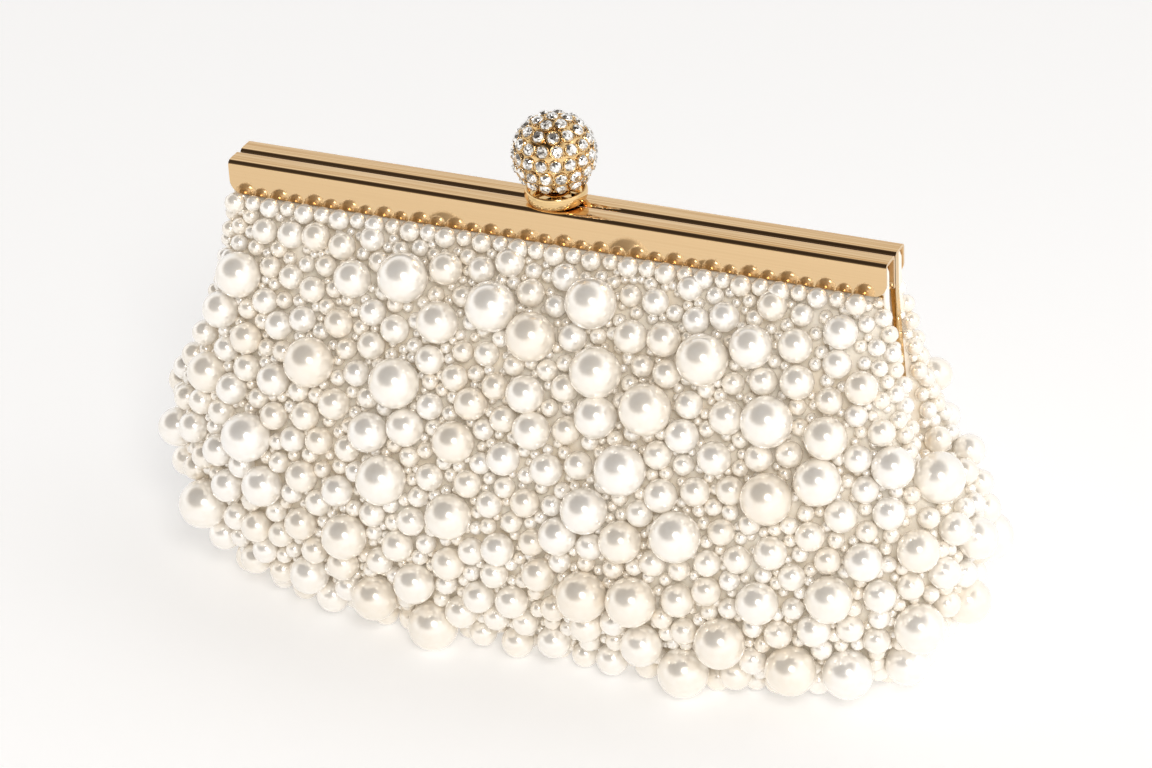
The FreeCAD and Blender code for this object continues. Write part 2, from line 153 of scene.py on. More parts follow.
# %% Light the room
world = bpy.data.worlds.new("studio")
bpy.context.scene.world = world
world.use_nodes = True
world.node_tree.nodes.clear()
tree = world.node_tree
direction = add(tree, "TexCoord").outputs["Generated"]
DARK_CENTRE = (-0.18, -0.46, 0.87)          # towards the middle of the dim patch
toward = add(tree, "VectorMath", {"operation": "DOT_PRODUCT", 1: DARK_CENTRE}, {0: direction})
dim = ramp(tree, toward.outputs["Value"],
           [(0.50, grey(1.0)), (0.64, srgb("#D2CBC2")), (0.76, srgb("#58504A")), (1.0, srgb("#332D28"))])
behind = add(tree, "SeparateXYZ", {}, {0: direction})
wall_light = ramp(tree, behind.outputs["Y"], [(0.30, grey(1.0)), (0.70, grey(0.78))])
room = add(tree, "Mix", {"data_type": "RGBA", "blend_type": "MULTIPLY", 0: 1.0}, {6: dim, 7: wall_light})
sky = add(tree, "Background", {"Strength": 1.22}, {"Color": room.outputs[2]})
add(tree, "OutputWorld", {}, {"Surface": sky.outputs[0]})


def softbox(name, turn, rise, distance, size, power, colour):
    """A round lamp on a sphere about the bag, facing it: its place is given by turn and height angle."""
    lamp = bpy.data.lights.new(name, "AREA")
    lamp.shape, lamp.size, lamp.energy, lamp.color = "DISK", size, power, srgb(colour)[:3]
    axes = view_axes(math.radians(turn), math.radians(rise), 0.0)
    obj = bpy.data.objects.new(name, lamp)
    place = Vector((0, 0, 0.05)) + Vector(axes[2]) * distance
    obj.matrix_world = Matrix(np.vstack([np.column_stack([*axes, place]), [0, 0, 0, 1]]).tolist())
    bpy.context.scene.collection.objects.link(obj)


softbox("key_light", 32, 38, 1.5, 0.48, 8.0, "#FFFCF8")
softbox("side_light", 100, 40, 1.5, 0.30, 0.3, "#FFFEFC")

# The table is matt white paper. It glows a little itself, as a lit sweep does, and so stays evenly white.
floor_mesh = bpy.data.meshes.new("floor")
floor_half = 3.0
floor_mesh.from_pydata([(-floor_half, -floor_half, 0), (floor_half, -floor_half, 0),
                        (floor_half, floor_half, 0), (-floor_half, floor_half, 0)], [], [(0, 1, 2, 3)])
floor = bpy.data.objects.new("floor", floor_mesh)
bpy.context.scene.collection.objects.link(floor)
floor_paint, tree, shader = new_material("matt_white_table", {
    "Base Color": srgb("#F4F4F4"), "Roughness": 0.9, "Specular IOR Level": 0.1,
    "Emission Color": srgb("#FCFDFF"), "Emission Strength": 0.27})
floor_mesh.materials.append(floor_paint)
bpy.context.scene.view_settings.view_transform = "Standard"

# %% [markdown]
# ## Helpers that make meshes
#
# Every new piece is a surface worked out with arrays: a grid of points, and quads between neighbours. Points
# are kept in millimetres until the mesh is made, because that is how the bag's maker thinks.

# %% Mesh helpers


def grid_quads(rows, cols, wrap=False, start=0):
    """Quads between neighbours of a grid stored row by row. With wrap, the last column meets the first."""
    i = np.arange(rows - 1)[:, None]
    j = np.arange(cols if wrap else cols - 1)[None, :]
    k = (j + 1) % cols
    low, high = i * cols, (i + 1) * cols
    return start + np.stack([low + j, low + k, high + k, high + j], -1).reshape(-1, 4)


def closed_quads(rows, cols):
    """Quads between neighbours of a grid that meets itself both ways, as on a ring."""
    i = np.arange(rows)[:, None]
    j = np.arange(cols)[None, :]
    low, high, k = i * cols, (i + 1) % rows * cols, (j + 1) % cols
    return np.stack([low + j, high + j, high + k, low + k], -1).reshape(-1, 4)


def make_piece(name, points, faces, material, sharp=None, turn_out=True):
    """A piece from points in millimetres and arrays of corners, shaded smooth. Faces are turned outwards,
    and edges that bend by more than sharp degrees are left crisp."""
    mesh = bpy.data.meshes.new(name)
    corners = [f for block in faces for f in np.asarray(block).tolist()]
    mesh.from_pydata((np.asarray(points, float).reshape(-1, 3) * MM).tolist(), [], corners)
    if turn_out:
        edit = bmesh.new()
        edit.from_mesh(mesh)
        bmesh.ops.recalc_face_normals(edit, faces=edit.faces[:])
        edit.to_mesh(mesh)
        edit.free()
    mesh.shade_smooth()
    if sharp is not None:
        mesh.set_sharp_from_angle(angle=math.radians(sharp))
    mesh.materials.append(material)
    obj = bpy.data.objects.new(name, mesh)
    bpy.context.scene.collection.objects.link(obj)
    print(name, "points", len(mesh.vertices), "faces", len(mesh.polygons))
    return obj


def thick_sheet(outer, inner):
    """A closed sheet between two grids of one size: both sides, and a rim of quads round their edges."""
    rows, cols = outer.shape[:2]
    n = rows * cols
    index = np.arange(n).reshape(rows, cols)
    edge = np.concatenate([index[0, :-1], index[:-1, -1], index[-1, :0:-1], index[:0:-1, 0]])
    after = np.roll(edge, -1)
    rim = np.stack([after, edge, edge + n, after + n], 1)
    points = np.concatenate([outer.reshape(-1, 3), inner.reshape(-1, 3)])
    return points, [grid_quads(rows, cols), grid_quads(rows, cols, start=n)[:, ::-1], rim]


def tube(rings):
    """A closed bar through rings of points (rings, points round, 3), with a flat cap at each end."""
    rows, cols = rings.shape[:2]
    caps = [list(range(cols))[::-1], list(range((rows - 1) * cols, rows * cols))]
    return rings.reshape(-1, 3), [grid_quads(rows, cols, wrap=True), caps]


def smooth_step(t):
    """0 below 0, 1 above 1, and 3 t^2 - 2 t^3 between."""
    t = np.clip(t, 0, 1)
    return t * t * (3 - 2 * t)


def scatter(template, faces, places, turns, sizes):
    """Copies of one small shape: each copy's points are place + turn * (size * template point)."""
    moved = np.einsum("nij,vj->nvi", turns, template) * sizes[:, None, None] + places[:, None, :]
    corners = np.asarray(faces)[None] + (np.arange(len(places)) * len(template))[:, None, None]
    return moved.reshape(-1, 3), corners.reshape(-1, corners.shape[-1])


def turned_to(out):
    """Turning matrices whose third axis is the given direction: the first is level, across it."""
    level = np.stack([-out[:, 1], out[:, 0], np.zeros(len(out))], 1)
    flat = np.linalg.norm(level, axis=1) < 1e-6
    level[flat] = (1, 0, 0)
    level /= np.linalg.norm(level, axis=1, keepdims=True)
    return np.stack([level, np.cross(out, level), out], 2)


# %% [markdown]
# ## The bag's form
#
# The body is a stack of level superellipses, wide and soft below and narrow under the frame, like a stuffed
# pouch. At each end a V-shaped cleft runs down from the frame, where the front and back lobes meet and the
# frame's arms go in. One function gives any layer of it: the satin, the wadding's inner side and the lining
# are the same form, set further in.

# %% Sizes of the form
halves = ((-1, "front"), (1, "back"))       # the sign of y on each half, and its name
rail_low, rail_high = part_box("front_rail")
rail_end, rail_foot, rail_top = rail_high.x / MM, rail_low.z / MM, rail_high.z / MM
rail_face = -rail_low.y / MM                # outer face of each rail, from the middle
rail_wall = -rail_high.y / MM               # facing side of each rail
panel_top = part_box("front_filler")[0].z / MM
pin_low, pin_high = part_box("hinge_pins")
hinge_z = (pin_low.z + pin_high.z) / 2 / MM
arm_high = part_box("front_arm_right")[1]
arm_thick = 1.2
arm_top_x = rail_end - 3.1                  # inner face of the inner arm, in the channel
arm_foot_x = arm_high.x / MM - arm_thick    # and at the hinge
arm_inset = 0.6                             # from the cleft's inner line to the arms

# Share of the height, overhang past the rail's end, half depth, roundness (2 is an ellipse), pearl depth.
OUTLINE = np.array([
    (0.00, -3.5, 26.0, 2.6, 5.0),
    (0.10, 13.0, 36.0, 2.8, 6.5),
    (0.25, 21.0, 39.0, 2.8, 7.0),
    (0.45, 22.5, 36.5, 2.8, 7.0),
    (0.65, 19.0, 29.5, 2.8, 7.0),
    (0.85, 12.0, 20.0, 3.0, 6.0),
    (1.00, 3.0, 9.2, 4.0, 4.2),
])
table_gap = OUTLINE[0, 4]                   # the satin's floor stands this high on its pearls
seam_z = 34.0                               # the front and back panels are sewn to the base here
cleft_slope = 0.60                          # how fast a cleft opens: outwards, for each millimetre sideways
cleft_start, cleft_full = 47.0, 60.0        # the cleft fades in between these heights
crease = 1.4                                # softness of its edges
print("hinge at", round(hinge_z, 2), "panels up to", round(panel_top, 2))

# %% The form as a function


def outline_at(z):
    """Overhang, half depth, roundness and pearl depth at heights z: a cubic through the rows, whose slope
    at each row is that of the line between its neighbours."""
    share = np.asarray(z, float) / panel_top
    rows = OUTLINE
    last = len(rows) - 1
    k = np.clip(np.searchsorted(rows[:, 0], share, side="right") - 1, 0, last - 1)
    a, b = rows[k], rows[k + 1]
    before, after = rows[np.maximum(k - 1, 0)], rows[np.minimum(k + 2, last)]
    span = (b[..., 0] - a[..., 0])[..., None]
    t = (share[..., None] - a[..., :1]) / span
    slope_a = (b - before) / (b - before)[..., :1] * span
    slope_b = (after - a) / (after - a)[..., :1] * span
    value = (a * (2 * t ** 3 - 3 * t ** 2 + 1) + slope_a * (t ** 3 - 2 * t ** 2 + t)
             + b * (3 * t ** 2 - 2 * t ** 3) + slope_b * (t ** 3 - t ** 2))
    return value[..., 1], value[..., 2], value[..., 3], value[..., 4]


def arm_lean(z):
    """How far out the arms are at height z: upright down to the neck, leaning, and upright from the knee."""
    neck, knee = rail_foot - 2.0, hinge_z + 5.0
    return (arm_foot_x - arm_top_x) * np.clip((neck - z) / (neck - knee), 0, 1)


def apex_x(z):
    """The cleft's inner line, just inside the arms."""
    return arm_top_x - arm_inset + arm_lean(z)


def wall(z, turn, inset):
    """Points of a layer at heights z and turns about the bag. x = A |cos|^(2/n), y = B |sin|^(2/n), with
    their signs. In a cleft x stays under the line apex + slope |y|, through a soft minimum of the two,
    -h log(exp(-a/h) + exp(-b/h))."""
    overhang, depth, roundness, pearls = outline_at(z)
    long_half, deep_half = rail_end + overhang - pearls - inset, depth - pearls - inset
    c, s = np.cos(turn), np.sin(turn)
    x = long_half * np.abs(c) ** (2 / roundness)
    y = deep_half * np.sign(s) * np.abs(s) ** (2 / roundness)
    limit = apex_x(z) - inset + cleft_slope * np.abs(y)
    soft = -crease * np.logaddexp(-x / crease, -limit / crease)
    x = x + (np.minimum(soft, x) - x) * smooth_step((z - cleft_start) / (cleft_full - cleft_start))
    return np.stack([np.sign(c) * x, y, z + 0 * x], -1)


wall_rows = 38                              # the same for every layer, so that layers pair up


def layer(inset, z_low, z_high, turns):
    """A grid of the form's wall between two heights, for the given turns about the bag."""
    z, turn = np.meshgrid(np.linspace(z_low, z_high, wall_rows), turns, indexing="ij")
    return wall(z, turn, inset)


def even_turns(count):
    """Turns of half the way round, closer together at the ends, where the lobes curve most."""
    u = np.linspace(0, 1, count)
    crowding = 0.115
    return math.pi * (u - crowding * np.sin(4 * math.pi * u) * 0.5)


back_turns = even_turns(110)
front_turns = back_turns + math.pi
around = np.concatenate([back_turns[:-1], front_turns[:-1]])
print("half depth at the middle:", round(float(outline_at(np.array(45.0))[1]), 1))

# %% [markdown]
# ## The padded satin
#
# Satin over wadding swells between the lines where it is held. A short cloth simulation does that: the whole
# shell is one net of quads, held at the frame, in the clefts and on its floor, and air pressure fills it for
# a few steps. The swelling is capped, so the pouch keeps the size it was cut to.

# %% Build the shell's net and let it swell
floor_rings, lining_rings = 12, 8
swell_limit = 1.6                           # millimetres
air_pressure = 18.0
held_slit = 2.5                             # the cloth is held this near to the parting line


def floor_of(wall_grid, rings, height):
    """Rings of a level floor inside the foot of a wall, with a small hole left in the middle."""
    shares = np.linspace(0.04, 1, rings, endpoint=False)[:, None, None]
    return wall_grid[:1] * np.array([1, 1, 0]) * shares + np.array([0, 0, height])


shell_wall = layer(0.0, table_gap, panel_top, around)
shell = np.concatenate([floor_of(shell_wall, floor_rings, table_gap), shell_wall])


def swell(points, steps=14):
    """The net after a short cloth simulation under air pressure, each point moved by at most the limit."""
    rows, cols = points.shape[:2]
    mesh = bpy.data.meshes.new("net")
    quads = grid_quads(rows, cols, wrap=True)
    mesh.from_pydata((points.reshape(-1, 3) * MM).tolist(), [], quads.tolist() + [list(range(cols))[::-1]])
    net = bpy.data.objects.new("net", mesh)
    bpy.context.scene.collection.objects.link(net)
    held = np.zeros((rows, cols), bool)
    held[:floor_rings + 1] = True
    held[-2:] = True
    held |= (np.abs(points[..., 1]) < held_slit) & (points[..., 2] > cleft_start)
    group = net.vertex_groups.new(name="held")
    group.add(np.flatnonzero(held.reshape(-1)).tolist(), 1.0, "REPLACE")
    cloth = net.modifiers.new("cloth", "CLOTH")
    cloth.settings.vertex_group_mass = "held"
    cloth.settings.use_pressure = True
    cloth.settings.uniform_pressure_force = air_pressure
    cloth.settings.effector_weights.gravity = 0.0
    cloth.settings.quality = 4
    scene = bpy.context.scene
    for step in range(1, steps + 1):
        scene.frame_set(step)
    seen = net.evaluated_get(bpy.context.evaluated_depsgraph_get()).to_mesh()
    moved = np.zeros(rows * cols * 3, np.float32)
    seen.vertices.foreach_get("co", moved)
    bpy.data.objects.remove(net)
    scene.frame_set(1)
    shift = moved.reshape(points.shape) / MM - points
    length = np.linalg.norm(shift, axis=-1, keepdims=True)
    return points + shift * np.minimum(1, swell_limit / np.maximum(length, 1e-6))


swollen = swell(shell)
swelling = swollen - shell
print("swelling at most", round(float(np.linalg.norm(swelling, axis=-1).max()), 2), "mm")

# %% [markdown]
# ## Satin and lining materials
#
# Satin is a weave with long floats, so threads lie side by side and the cloth has a soft silky gloss across
# them. The real threads are about 0.15 mm apart, too fine to show, so the weave is drawn 0.5 mm apart.

# %% Woven cloth
thread_pitch = 0.5                          # millimetres, coarser than the real weave so that it shows


def woven_cloth(name, colour, shade, roughness, sheen, pitch=thread_pitch):
    """Cloth with fine threads both ways and a slow unevenness of tone, on object coordinates."""
    material, tree, shader = new_material(name, {
        "Roughness": roughness, "Sheen Weight": sheen, "Sheen Roughness": 0.35, "Specular IOR Level": 0.45})
    place = add(tree, "TexCoord").outputs["Object"]
    waves_per_metre = 2 * math.pi / (20 * pitch * MM)
    warp, weft = [add(tree, "TexWave", {"wave_type": "BANDS", "bands_direction": axis, "Detail": 1.0,
                                        "Scale": waves_per_metre, "Distortion": 0.6}, {"Vector": place})
                  for axis in "XZ"]
    threads = add(tree, "Math", {"operation": "MAXIMUM"}, {0: warp.outputs["Fac"], 1: weft.outputs["Fac"]})
    uneven = add(tree, "TexNoise", {"Scale": 90.0, "Detail": 3.0}, {"Vector": place})
    tone = ramp(tree, uneven.outputs["Fac"], [(0.35, srgb(shade)), (0.65, srgb(colour))])
    tree.links.new(tone, shader.inputs["Base Color"])
    bump = add(tree, "Bump", {"Strength": 0.22, "Distance": 0.05 * MM}, {"Height": threads.outputs[0]})
    tree.links.new(bump.outputs["Normal"], shader.inputs["Normal"])
    return material


satin = woven_cloth("ivory_duchesse_satin_woven", "#FFFAF0", "#FBF1E0", 0.42, 0.3)
lining_cloth = woven_cloth("ivory_taffeta_lining_woven", "#F8F1E3", "#F0E6D2", 0.50, 0.15, 0.6)
print("cloth:", satin.name, lining_cloth.name)

# %% [markdown]
# The two panels turn with the two halves of the frame and the base stays put, so each panel bends across
# its hinge: still at the seam, and turning fully with the frame near its top. Here the panels are made as
# they lie closed, and are not bent. Each is a closed padded sheet, satin outside and wadding under it.

# %% Make the satin panels and base
satin_depth = 1.8
foot_blend = 8.0                            # the wadding's inner side rises to its floor over this height
bend_start, bend_end = seam_z + 1.0, 88.0
cols_half = len(back_turns)


def bend_weight(z):
    """How far cloth at height z turns with its frame half: smooth from the seam to under the frame."""
    return smooth_step((z - bend_start) / (bend_end - bend_start))


def panel_columns(grid, side):
    """The columns of a full turn that belong to the back (side 1) or the front (side -1)."""
    wrapped = np.concatenate([grid, grid[:, :1]], axis=1)
    return wrapped[:, :cols_half] if side > 0 else wrapped[:, cols_half - 1:]


def bend_with(piece):
    """Bakes a piece's placing into its points; it is not blended across the hinge."""
    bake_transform(piece)


wall_z = shell_wall[:, 0, 2]
first_up = int(np.searchsorted(wall_z, seam_z))
inner_shell = layer(satin_depth, table_gap, panel_top, around)
inner_shell[..., 2] += (satin_depth * (1 - smooth_step((wall_z - table_gap) / foot_blend)))[:, None]
inner_shell += swelling[floor_rings:]
outer_shell = swollen[floor_rings:]
for side, half in halves:
    outer = panel_columns(outer_shell[first_up:], side)
    inner = panel_columns(inner_shell[first_up:], side)
    piece = make_piece("satin_panel_" + half, *thick_sheet(outer, inner), satin, sharp=60)
    bend_with(piece)
    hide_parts(half + "_satin", half + "_board", half + "_skirt")

# %% The base, with its floor closed at the middle


def bowl(outer, inner):
    """A closed bowl from two wrapped grids, floor to rim: caps at both middles, a rim strip at the top."""
    rows, cols = outer.shape[:2]
    n = rows * cols
    j = np.arange(cols)
    k = (j + 1) % cols
    top = (rows - 1) * cols
    rim = np.stack([top + j, top + k, n + top + k, n + top + j], 1)
    points = np.concatenate([outer.reshape(-1, 3), inner.reshape(-1, 3),
                             [outer[0].mean(0), inner[0].mean(0)]])
    outer_cap = np.stack([k, j, np.full(cols, 2 * n)], 1)
    inner_cap = np.stack([n + j, n + k, np.full(cols, 2 * n + 1)], 1)
    quads = [grid_quads(rows, cols, wrap=True), grid_quads(rows, cols, wrap=True, start=n)[:, ::-1], rim]
    return points, quads + [outer_cap, inner_cap]


outer_base = swollen[:floor_rings + first_up + 1]
draw_in = np.array([0.985, 0.95, 1])        # the inner floor ends where the inner wall starts
inner_floor = swollen[:floor_rings] * draw_in + np.array([0, 0, satin_depth])
inner_base = np.concatenate([inner_floor, inner_shell[:first_up + 1]])
base = make_piece("satin_base", *bowl(outer_base, inner_base), satin, sharp=60)
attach(base, "pouch")
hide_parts("pouch_satin", "pouch_wadding")

# %% [markdown]
# The lining is a thin cloth bag inside the padded one. It is seen when the mouth opens.

# %% Make the lining
lining_gap, lining_thick = 2.3, 0.5
lining_foot = table_gap + lining_gap + 0.3


def lining_layer(inset):
    """The lining's grid at one inset: its foot stands on the wadding and its top is under the frame."""
    return layer(inset, lining_foot, panel_top - 0.3, around)


lining_out, lining_in = lining_layer(lining_gap), lining_layer(lining_gap + lining_thick)
lining_row = int(np.searchsorted(lining_out[:, 0, 2], seam_z))


for side, half in halves:
    outer = panel_columns(lining_out[lining_row:], side)
    inner = panel_columns(lining_in[lining_row:], side)
    piece = make_piece("lining_" + half, *thick_sheet(outer, inner), lining_cloth, sharp=60)
    bend_with(piece)
    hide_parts(half + "_lining")

inner_foot = lining_foot + lining_thick
low_out = np.concatenate([floor_of(lining_out, lining_rings, lining_foot), lining_out[:lining_row + 1]])
low_in = np.concatenate([floor_of(lining_in, lining_rings, inner_foot), lining_in[:lining_row + 1]])
low_in[lining_rings:, :, 2] = np.maximum(low_in[lining_rings:, :, 2], inner_foot)
lining_base = make_piece("lining_base", *bowl(low_out, low_in), lining_cloth, sharp=60)
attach(lining_base, "pouch")
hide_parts("pouch_lining")

# %% [markdown]
# ## Pearls
#
# A faux pearl is a bead dipped in pearl lacquer: a white body, a soft metallic lustre from flakes of mica in
# the lacquer, and a hard clear gloss on top. Some light wanders through the lacquer and comes out again, and
# a faint warm glow stands for it. The glued cover has every size from 2.2 to 12 mm, and neighbours touch or
# press together by a hair. The largest are set out first, one by one, then the rest is fitted in, large to
# small, each in a free place, as a maker does it.

# %% Pearl lacquer
pearl_lacquer, tree, shader = new_material("faux_pearl_dipped_lacquer", {
    "Metallic": 0.42, "Roughness": 0.22, "IOR": 1.56, "Coat Weight": 0.8, "Coat Roughness": 0.06,
    "Coat IOR": 1.5, "Emission Color": srgb("#FFF1DC"), "Emission Strength": 0.05})
tint = add(tree, "Attribute", {"attribute_name": "tint"}).outputs["Fac"]
tone = ramp(tree, tint, [(0.0, srgb("#F9F2E7")), (0.5, srgb("#FCF8F1")), (1.0, srgb("#FDFBF8"))])
place = add(tree, "TexCoord").outputs["Object"]
cloud = add(tree, "TexNoise", {"Scale": 420.0, "Detail": 2.0}, {"Vector": place})
veil = ramp(tree, cloud.outputs["Fac"], [(0.3, srgb("#F6EFE4")), (0.7, srgb("#FFFFFF"))])
mixed = add(tree, "Mix", {"data_type": "RGBA", "blend_type": "MULTIPLY", 0: 0.35}, {6: tone, 7: veil})
tree.links.new(mixed.outputs[2], shader.inputs["Base Color"])
flake_size = 0.5                            # millimetres between slight waves of the lacquer
waves = add(tree, "TexNoise", {"Scale": 1 / (flake_size * MM), "Detail": 1.0}, {"Vector": place})
bump = add(tree, "Bump", {"Strength": 0.12, "Distance": 0.05 * MM}, {"Height": waves.outputs["Fac"]})
tree.links.new(bump.outputs["Normal"], shader.inputs["Normal"])

# %% Places where a pearl may be glued
rng = np.random.default_rng(11)
places_per_mm2 = 1.4
top_limit = panel_top - 0.4


def net_triangles(rows, cols):
    """Corner indices of the net's triangles: every quad cut in two."""
    quads = grid_quads(rows, cols, wrap=True)
    return np.concatenate([quads[:, [0, 1, 2]], quads[:, [0, 2, 3]]])


triangles = net_triangles(*shell.shape[:2])
rest = shell.reshape(-1, 3)[triangles]
crossed = np.cross(rest[:, 1] - rest[:, 0], rest[:, 2] - rest[:, 0])
area = 0.5 * np.linalg.norm(crossed, axis=1)
count = int(area.sum() * places_per_mm2)
chosen = rng.choice(len(triangles), size=count, p=area / area.sum())
root, across = np.sqrt(rng.random(count)), rng.random(count)
share = np.stack([1 - root, root * (1 - across), root * across], 1)
spots = np.einsum("nk,nkj->nj", share, rest[chosen])
swollen_spots = np.einsum("nk,nkj->nj", share, swollen.reshape(-1, 3)[triangles[chosen]])
outward = crossed[chosen] / np.maximum(2 * area[chosen], 1e-9)[:, None]
core = spots * [0.6, 0.0, 0.0] + [0, 0, 45.0]      # outward is away from a line inside the bag
outward *= np.sign(np.einsum("nj,nj->n", outward, spots - core))[:, None]
print("area of satin", round(area.sum() / 100), "cm2, places", count)

# %% [markdown]
# A pearl rests on the satin with its foot in the glue. It must stay clear of the frame, of the arms and
# their sweep when the bag opens, and of the line where front and back lobe part.

# %% Rules for a place
sunk = 0.12                                 # share of its radius that a pearl sinks into the glue
slit_half = 2.2                             # half width of the bare slit in front of the arms
arm_clear = 1.2                             # half of an arm's width, and a little room
eye_clear = 3.3                             # radius of an arm's eye, and a little room
eye_top = 3.0                               # the arms rise from their eyes this far above the hinge
arm_span = 4.0                              # the pair of arms and their gap, along the frame
small_radius = 2.3                          # only pearls up to this size go beside the arms
cleft_reach = 14.0                          # which is up to this far from the parting line
plate_gap = 0.05                            # between a pearl and the rail's plate
parting = 0.25                              # between a pearl and the parting line
open_turn = math.radians(30.0)


def centre_of(spot, normal, radius):
    """A pearl's centre: place + outward direction * radius (1 - sunk)."""
    return spot + normal * (radius * (1 - sunk))


def allowed(spot, normal, radius):
    """True where a pearl of this radius is clear of the table, rails, arms, hinges and parting line."""
    c = centre_of(spot, normal, radius)
    x, y, z = np.abs(c[:, 0]), np.abs(c[:, 1]), c[:, 2]
    height = np.hypot(y, z - hinge_z)
    lean = np.arctan2(y, z - hinge_z)
    sweep = (1 - bend_weight(z)) * open_turn + (arm_clear + radius) / np.maximum(height, 1e-6)
    arm_x = apex_x(z) + arm_inset
    by_arm = (x + radius > arm_x - 0.3) & (x - radius < arm_x + arm_span)
    hits_arm = by_arm & (lean < sweep) & (z > hinge_z + eye_top)
    hits_eye = by_arm & (height < eye_clear + radius)
    hits_rail = (z + radius > rail_foot - 0.1) & (y - radius < rail_face + plate_gap)
    near_apex = smooth_step((x - apex_x(z) + 4) / 3)
    half_split = parting + slit_half * smooth_step((z - hinge_z - eye_top) / 8) * near_apex
    hits_split = (z > cleft_start) & (y < radius + half_split)
    in_cleft = (x > apex_x(z) - 4) & (y < cleft_reach) & (z > hinge_z + 6) & (radius > small_radius)
    too_low = c[:, 2] - radius < -0.2
    return ~(hits_arm | hits_eye | hits_rail | hits_split | in_cleft | too_low) & (spot[:, 2] < top_limit)


# %% Pearls set out one by one
# Place along the frame, height and diameter, in millimetres, on the front.
set_out = [
    (-76, 81, 11), (-81, 72, 9), (-85, 56, 10), (-64, 73, 7), (-63, 84, 6), (-57, 93, 7), (-53, 66, 12),
    (-64, 60, 8), (-46, 85, 9), (-33, 88, 12), (-43, 94, 6), (-31, 66, 12), (-48, 76, 7), (-34, 77, 7),
    (-24, 72, 7), (-10, 85, 12), (-7, 94, 7), (15, 89, 12), (18, 76, 12), (1, 69, 9), (-10, 76, 6),
    (25, 84, 8), (33, 85, 8), (43, 82, 12), (54, 86, 10), (64, 87, 8), (46, 91, 7), (57, 94, 7),
    (37, 95, 6), (-28, 57, 9), (-15, 55, 10), (-2, 54, 8), (4, 61, 9), (20, 66, 10), (27, 56, 12),
    (19, 46, 11), (-70, 46, 12), (-80, 39, 8), (-33, 44, 12), (-15, 39, 11), (-43, 28, 11),
    (-56, 28, 8), (-38, 13, 11), (12, 39, 9), (41, 44, 12), (44, 54, 7), (48, 62, 8), (59, 71, 12),
    (72, 69, 10), (82, 69, 8), (61, 54, 12), (71, 59, 11), (92, 53, 12), (82, 41, 9), (75, 33, 11),
    (60, 30, 10), (19, 26, 12), (-4, 33, 8), (51, 19, 12), (31, 14, 10), (66, 14, 12), (96, 22, 11),
    (72, 24, 8), (-26, 20, 10), (-15, 13, 8), (-1, 20, 8), (7, 28, 8), (-55, 54, 7), (48, 31, 7),
    (91, 43, 10), (71, 46, 7), (101, 39, 10), (91, 64, 8), (3, 45, 7), (-26, 36, 7),
]
top_row_z = panel_top - 2.2
top_row_start, top_row_step = 2.4 - rail_end, 4.6
top_row_drop = 0.45                         # the share of its radius that a centre hangs under the plate
top_sizes = (5.2, 4.0, 4.9, 3.9, 5.1, 4.3)

# %% [markdown]
# Fitting in works on arrays: for one size, every free place keeps its gap to the nearest pearl. A place is
# taken, the gaps are updated, and places that have become too tight drop out. Large pearls are scattered;
# small ones take the tightest place that is left, so they fill the hollows.

# %% Fit the pearls in
centres, radii, glued = [], [], []


def put(k, radius, centre=None):
    """Glues one pearl at place k, with its centre over that place or where it is given."""
    centres.append(centre_of(spots[k], outward[k], radius) if centre is None else np.array(centre))
    radii.append(radius)
    glued.append(k)


def gap_to_all(c, radius):
    """Gap between pearls of this radius at c and the nearest pearl that is there, a block at a time."""
    gap = np.full(len(c), 1e3)
    block_size = 4000
    for start in range(0, len(c), block_size):
        block = c[start:start + block_size]
        apart = np.linalg.norm(block[:, None] - np.array(centres)[None], axis=2) - np.array(radii)[None]
        gap[start:start + block_size] = apart.min(1) - radius
    return gap


def fit_in(diameter, most, slack=0.0, tight=False, spread=0.0):
    """Glues up to most pearls of one size where they fit, and gives how many it glued. Slack is how far two
    may press into each other, and spread the room kept from others of this size."""
    radius = diameter / 2
    free = np.flatnonzero(allowed(spots, outward, radius))
    c = centre_of(spots[free], outward[free], radius)
    gap = gap_to_all(c, radius)
    done = 0
    while done < most:
        keep = gap >= -slack
        free, c, gap = free[keep], c[keep], gap[keep]
        if len(free) == 0:
            break
        pick = int(np.argmin(gap)) if tight and done else int(rng.integers(len(free)))
        size = radius * rng.uniform(0.96, 1.03)
        put(free[pick], size)
        gap = np.minimum(gap, np.linalg.norm(c - centres[-1], axis=1) - size - radius - spread)
        gap[pick] = -1e3
        done += 1
    return done


def nearest_place(target, side):
    """The place nearest to a point along the frame and height, on one side of the bag."""
    off = np.hypot(spots[:, 0] - target[0], spots[:, 2] - target[1]) + 1e3 * (spots[:, 1] * side < 0)
    return int(np.argmin(off))


for side in (-1, 1):
    for i in range(int(2 * (rail_end - 2) / top_row_step)):
        x = top_row_start + i * top_row_step
        radius = top_sizes[i % len(top_sizes)] / 2
        centre = (x, side * (rail_face + plate_gap + radius), rail_foot - top_row_drop * radius)
        put(nearest_place((x, top_row_z), side), radius, centre)
top_row_count = len(radii)
for x, z, diameter in set_out:
    k = nearest_place((x, z), -1)
    if allowed(spots[k:k + 1], outward[k:k + 1], diameter / 2)[0]:
        put(k, diameter / 2)
print("top rows", top_row_count, "set out", len(radii) - top_row_count)

made = {}
scattered = ((12, 26, 7.0), (10, 36, 4.0), (8, 110, 1.4), (6.6, 230, 0.4), (5.4, 420, 0.1))
packed = ((4.3, 800), (3.4, 1600), (2.7, 3000), (2.2, 3000))
for diameter, most, spread in scattered:
    made[diameter] = fit_in(diameter, most, slack=0.1, spread=spread)
for diameter, most in packed:
    made[diameter] = fit_in(diameter, most, slack=0.3, tight=True)
print("fitted in:", made, "all pearls:", len(radii))
